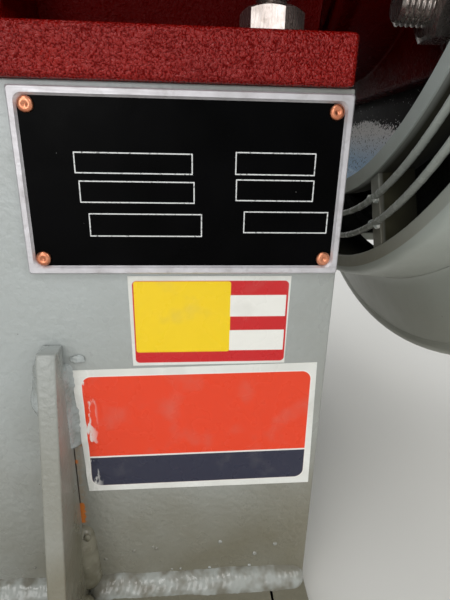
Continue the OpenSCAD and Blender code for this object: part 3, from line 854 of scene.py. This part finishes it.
def wire_enamel():
    """Grey enamel on drawn wire, with painted shade darker where it is low."""
    made, tree, shader = new_finish("wire_paint")
    where = object_place(tree)
    # painted shade: darker and browner towards the bottom
    darkening = between(tree, place_axes(tree, where)[2], 0.185, 0.140, 0.0, 0.55)
    clean = mixed(tree, grain(tree, where, cell=0.02), linear(176, 182, 176), linear(156, 162, 156))
    colour = mixed(tree, darkening, clean, linear(84, 76, 60))
    relief = bumped(tree, grain(tree, where, cell=0.002), 0.00006)
    finish_with(tree, shader, colour, uneven(tree, where, 0.004, 0.20, 0.32), relief)
    return made


def tack_weld():
    """Weld blobs, the enamel on them chipped to bright metal."""
    made, tree, shader = new_finish("tack_weld")
    where = object_place(tree)
    chipped = between(tree, grain(tree, where, cell=0.0016, detail=3.0), 0.50, 0.60)
    colour = mixed(tree, chipped, linear(150, 156, 150), linear(226, 226, 218))
    relief = bumped(tree, grain(tree, where, cell=0.0009, detail=3.0), 0.0003)
    finish_with(tree, shader, colour, uneven(tree, where, 0.002, 0.22, 0.40), relief)
    return made


wire_paint, tack_paint = wire_enamel(), tack_weld()
for name, side, outward, face in (
    ("right_rear", 1, -1, intake_face), ("right_front", 1, 1, mouth_face),
    ("left_rear", -1, 1, intake_face), ("left_front", -1, -1, mouth_face),
):
    dress([name + "_guard"], wire_paint)
    add_piece(name + "_tacks", tack_blobs(side * face, outward), [tack_paint], crease=1.2)


# Rotor: a cast wheel with vanes in each head, fixed on the ends of the motor shaft, which runs
# through both. The shaft is turned bright, and the wheels are left as cast and dull, their
# near-black colour painted shade for the dark inside of the heads.
turned_steel = bright_metal(
    "turned_steel", (linear(176, 176, 178), linear(160, 160, 163)),
    roughness=0.30, streak=0.0006, stretch=(0.2, 1.0, 1.0),
)
rotor_painted_shade = cast_enamel(
    "rotor_painted_shade", (linear(40, 41, 39), linear(28, 28, 26), linear(16, 15, 13)),
    lump=0.0016, depth=0.00015, pit_shade=0.5, gloss=0.8, shine=0.12,
)
dress(["shaft"], turned_steel, edge=0.0008)
dress(["right_rotor", "left_rotor"], rotor_painted_shade)


# Nameplate: a pressed aluminium plate whose border stands proud round a black printed field
# with ruled entry frames, left blank, held to the front plate by four copper rivets.
def rounded_rings(form, rings, place, corner_steps=8):
    """A closed form of rounded rectangles: half width, half height, corner radius, height."""
    columns = 4 * (corner_steps + 1)
    sheet = bmesh.ops.create_grid(form, x_segments=columns, y_segments=len(rings) - 1, size=0.5)
    for vert in sheet["verts"]:
        column = round((vert.co.x + 0.5) * columns) % columns
        wide, tall, corner, height = rings[round((vert.co.y + 0.5) * (len(rings) - 1))]
        quarter, step = divmod(column, corner_steps + 1)
        angle = math.pi / 2 * (quarter + step / corner_steps)
        x = math.copysign(wide - corner, math.cos(math.pi / 4 + quarter * math.pi / 2)) if wide else 0.0
        y = math.copysign(tall - corner, math.sin(math.pi / 4 + quarter * math.pi / 2)) if tall else 0.0
        vert.co = place @ Vector((x + corner * math.cos(angle), y + corner * math.sin(angle), height))
    bmesh.ops.remove_doubles(form, verts=sheet["verts"], dist=1e-7)


name_low, name_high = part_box("nameplate")
name_x, name_z = (name_low.x + name_high.x) / 2, (name_low.z + name_high.z) / 2
half_w, half_h = (name_high.x - name_low.x) / 2, (name_high.z - name_low.z) / 2
field_height, border_height = 0.0012, 0.0020
form = bmesh.new()
rounded_rings(form, [
    (0.0, 0.0, 0.0, 0.0),
    (half_w, half_h, 0.0008, 0.0),
    (half_w, half_h, 0.0008, 0.0015),
    (half_w - 0.0004, half_h - 0.0004, 0.0007, border_height),
    (half_w - 0.0017, half_h - 0.0018, 0.0022, border_height),
    (half_w - 0.0021, half_h - 0.0022, 0.0026, 0.0014),
    (half_w - 0.0023, half_h - 0.0024, 0.0026, field_height),
    (0.0, 0.0, 0.0, field_height),
], Matrix.Translation((name_x, plate_face, name_z)) @ Matrix.Rotation(math.pi / 2, 4, "X"))
for face in form.faces:
    if abs(face.calc_center_median().y - plate_face + field_height) < 1e-5:
        face.material_index = 1
entry_frames = (
    (0.0309, 0.1697, 0.0160, 0.0028), (0.03155, 0.1620, 0.01585, 0.0030), (0.0336, 0.1528, 0.0159, 0.0033),
    (0.0700, 0.17015, 0.0113, 0.00305), (0.0702, 0.1629, 0.0112, 0.0030), (0.0739, 0.15385, 0.0124, 0.00315),
)
line_width = 0.0003


def printed_black(name):
    """Glossy black print with thin ruled frames. A frame is its X, Z, half width, half height."""
    made, tree, shader = new_finish(name, Specular_IOR_Level=0.03)
    where = object_place(tree)
    lines = None
    for x, z, wide, tall in entry_frames:
        outer = inside(tree, where, (x, z), (wide, tall), corner=0.0001, soft=0.00005)
        inner_half = (wide - line_width, tall - line_width)
        inner = inside(tree, where, (x, z), inner_half, corner=0.0001, soft=0.00005)
        line = sums(tree, "SUBTRACT", outer, inner)
        lines = line if lines is None else sums(tree, "MAXIMUM", lines, line)
    worn = between(tree, grain(tree, where, cell=0.0008), 0.25, 0.45)
    scuffs = specks(tree, where, cell=0.005, size=0.00012, share=0.35)
    colour = mixed(tree, clouds(tree, where, 0.03), linear(6, 6, 7), linear(12, 12, 13))
    colour = mixed(tree, scuffs, colour, linear(120, 120, 118))
    colour = mixed(tree, times(tree, lines, worn), colour, linear(222, 222, 220))
    relief = bumped(tree, grain(tree, where, cell=0.02), 0.0003)
    finish_with(tree, shader, colour, uneven(tree, where, 0.015, 0.24, 0.40, detail=4.0), relief)
    return made


aluminium = bright_metal(
    "aluminium", (linear(208, 206, 210), linear(188, 185, 188)),
    roughness=0.46, streak=0.0005, stretch=(0.08, 1.0, 1.0), stain=0.20, metallic=0.65,
)
plate_finishes = [aluminium, printed_black("black_field")]
rating_plate = add_piece("rating_plate", form, plate_finishes, crease=0.5)
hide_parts("nameplate")

copper = bright_metal(
    "copper", (linear(222, 150, 118), linear(196, 118, 88)),
    roughness=0.30, streak=0.0008, stretch=(1.0, 1.0, 1.0), stain=0.5,
)
rivet_x, rivet_z = 0.0409, 0.0204
rivet_profile = [
    (0.0, -0.0010), (0.0011, -0.0010), (0.0011, 0.0), (0.0021, 0.0), (0.00215, 0.0003), (0.0019, 0.00075),
    (0.0014, 0.00105), (0.0009, 0.00108), (0.0005, 0.00085), (0.0002, 0.00065), (0.0, 0.00062),
]
form = bmesh.new()
for x in (name_x - rivet_x, name_x + rivet_x):
    for z in (name_z - rivet_z, name_z + rivet_z):
        turned(form, 32, rivet_profile, facing((x, plate_face - field_height, z), (0, -1, 0)))
rivets = add_piece("rivet_heads", form, [copper], crease=0.7)
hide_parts("nameplate_rivets")


# Labels: two blank vinyl stickers pressed on the front plate by hand. The lower one sits a
# little turned, and its left edge is creased and worn.
def sticker(name, corners, finish, wrinkle):
    """A thin sheet on the front plate between four corners, from the top left clockwise."""
    form = bmesh.new()
    sheet = bmesh.ops.create_grid(form, x_segments=96, y_segments=64, size=0.5)
    top_left, top_right, low_right, low_left = (Vector(corner) for corner in corners)
    for vert in sheet["verts"]:
        across, down = vert.co.x + 0.5, 0.5 - vert.co.y
        spot = top_left.lerp(top_right, across).lerp(low_left.lerp(low_right, across), down)
        vert.co = Vector((spot.x, plate_face - 0.00012 - wrinkle(across, down), spot.y))
    rim = [edge for edge in form.edges if edge.is_boundary]
    skirt = bmesh.ops.extrude_edge_only(form, edges=rim)
    for vert in skirt["geom"]:
        if isinstance(vert, bmesh.types.BMVert):
            vert.co.y = plate_face + 0.00002
    add_piece(name, form, [finish], crease=0.9)


def vinyl(name, layers, worn_to=None):
    """Printed vinyl: a white sheet with coloured rounded fields laid over one another, each cut
    off above a height if one is given. Its print is chipped near worn_to along X."""
    made, tree, shader = new_finish(name)
    where = object_place(tree)
    colour = mixed(tree, clouds(tree, where, 0.02), linear(226, 226, 220), linear(212, 211, 203))
    for centre, half, corner, turn, tint, *top in layers:
        field = inside(tree, where, centre, half, corner, turn=turn)
        if top:
            below = inside(tree, where, (centre[0], top[0] - 0.05), (0.08, 0.05), 0.001, turn=turn)
            field = times(tree, field, below)
        colour = mixed(tree, field, colour, tint)
    if worn_to is not None:
        near = between(tree, place_axes(tree, where)[0], worn_to + 0.0035, worn_to)
        chips = grain(tree, where, cell=0.0022, detail=4.0, stretch=(1.0, 1.0, 0.30))
        chips = between(tree, chips, 0.53, 0.58)
        colour = mixed(tree, times(tree, chips, near), colour, linear(226, 224, 218))
    grubby = between(tree, grain(tree, where, cell=0.012, detail=4.0), 0.55, 0.75, 0.0, 0.16)
    colour = mixed(tree, grubby, colour, linear(150, 146, 136))
    relief = bumped(tree, grain(tree, where, cell=0.006), 0.00012)
    finish_with(tree, shader, colour, uneven(tree, where, 0.01, 0.22, 0.34, detail=3.0), relief)
    return made


yellow, signal_red, white = linear(240, 202, 12), linear(196, 26, 30), linear(232, 230, 222)
orange, navy = linear(226, 62, 26), linear(40, 42, 60)
upper_vinyl = vinyl("upper_vinyl", (
    ((0.0525, 0.1220), (0.0240, 0.0138), 0.0014, 0.0, signal_red),
    ((0.0437, 0.12375), (0.0148, 0.01185), 0.0008, 0.0, yellow),
    ((0.06715, 0.12755), (0.00875, 0.00355), 0.0002, 0.0, white),
    ((0.06715, 0.11575), (0.00875, 0.00355), 0.0002, 0.0, white),
))
sticker(
    "upper_label",
    ((0.0273, 0.1373), (0.0771, 0.1373), (0.0768, 0.1074), (0.0276, 0.1072)),
    upper_vinyl,
    lambda across, down: 0.00006 * (1 + noise.noise((across * 6, down * 4, 2.0))),
)
lower_middle, rim_half, print_half = (0.0487, 0.0818), (0.0380, 0.0222), (0.0377, 0.0219)
lower_turn = math.radians(-0.6)
strip_line, strip_top, worn_edge = 0.0725, 0.0719, 0.0117
lower_vinyl = vinyl("lower_vinyl", (
    (lower_middle, rim_half, 0.0034, lower_turn, white),
    (lower_middle, print_half, 0.0032, lower_turn, orange),
    (lower_middle, print_half, 0.0032, lower_turn, white, strip_line),
    (lower_middle, print_half, 0.0032, lower_turn, navy, strip_top),
), worn_edge)


def creases(across, down):
    """Folds that die away from the left edge, and one bubble."""
    edge = max(0.0, 1 - across / 0.11)
    folds = abs(math.sin(9.0 * down + 5.0 * across + 1.3 * noise.noise((down * 5, across * 8, 1.0))))
    bubble = math.exp(-(((across - 0.055) / 0.030) ** 2 + ((down - 0.40) / 0.09) ** 2))
    waves = 0.00003 * noise.noise((across * 9, down * 6, 3.0))
    return 0.00005 + 0.00055 * edge * folds ** 6 + 0.0006 * bubble + waves


sticker(
    "lower_label",
    ((0.0080, 0.1058), (0.0879, 0.1073), (0.0891, 0.0575), (0.0097, 0.0572)),
    lower_vinyl,
    creases,
)
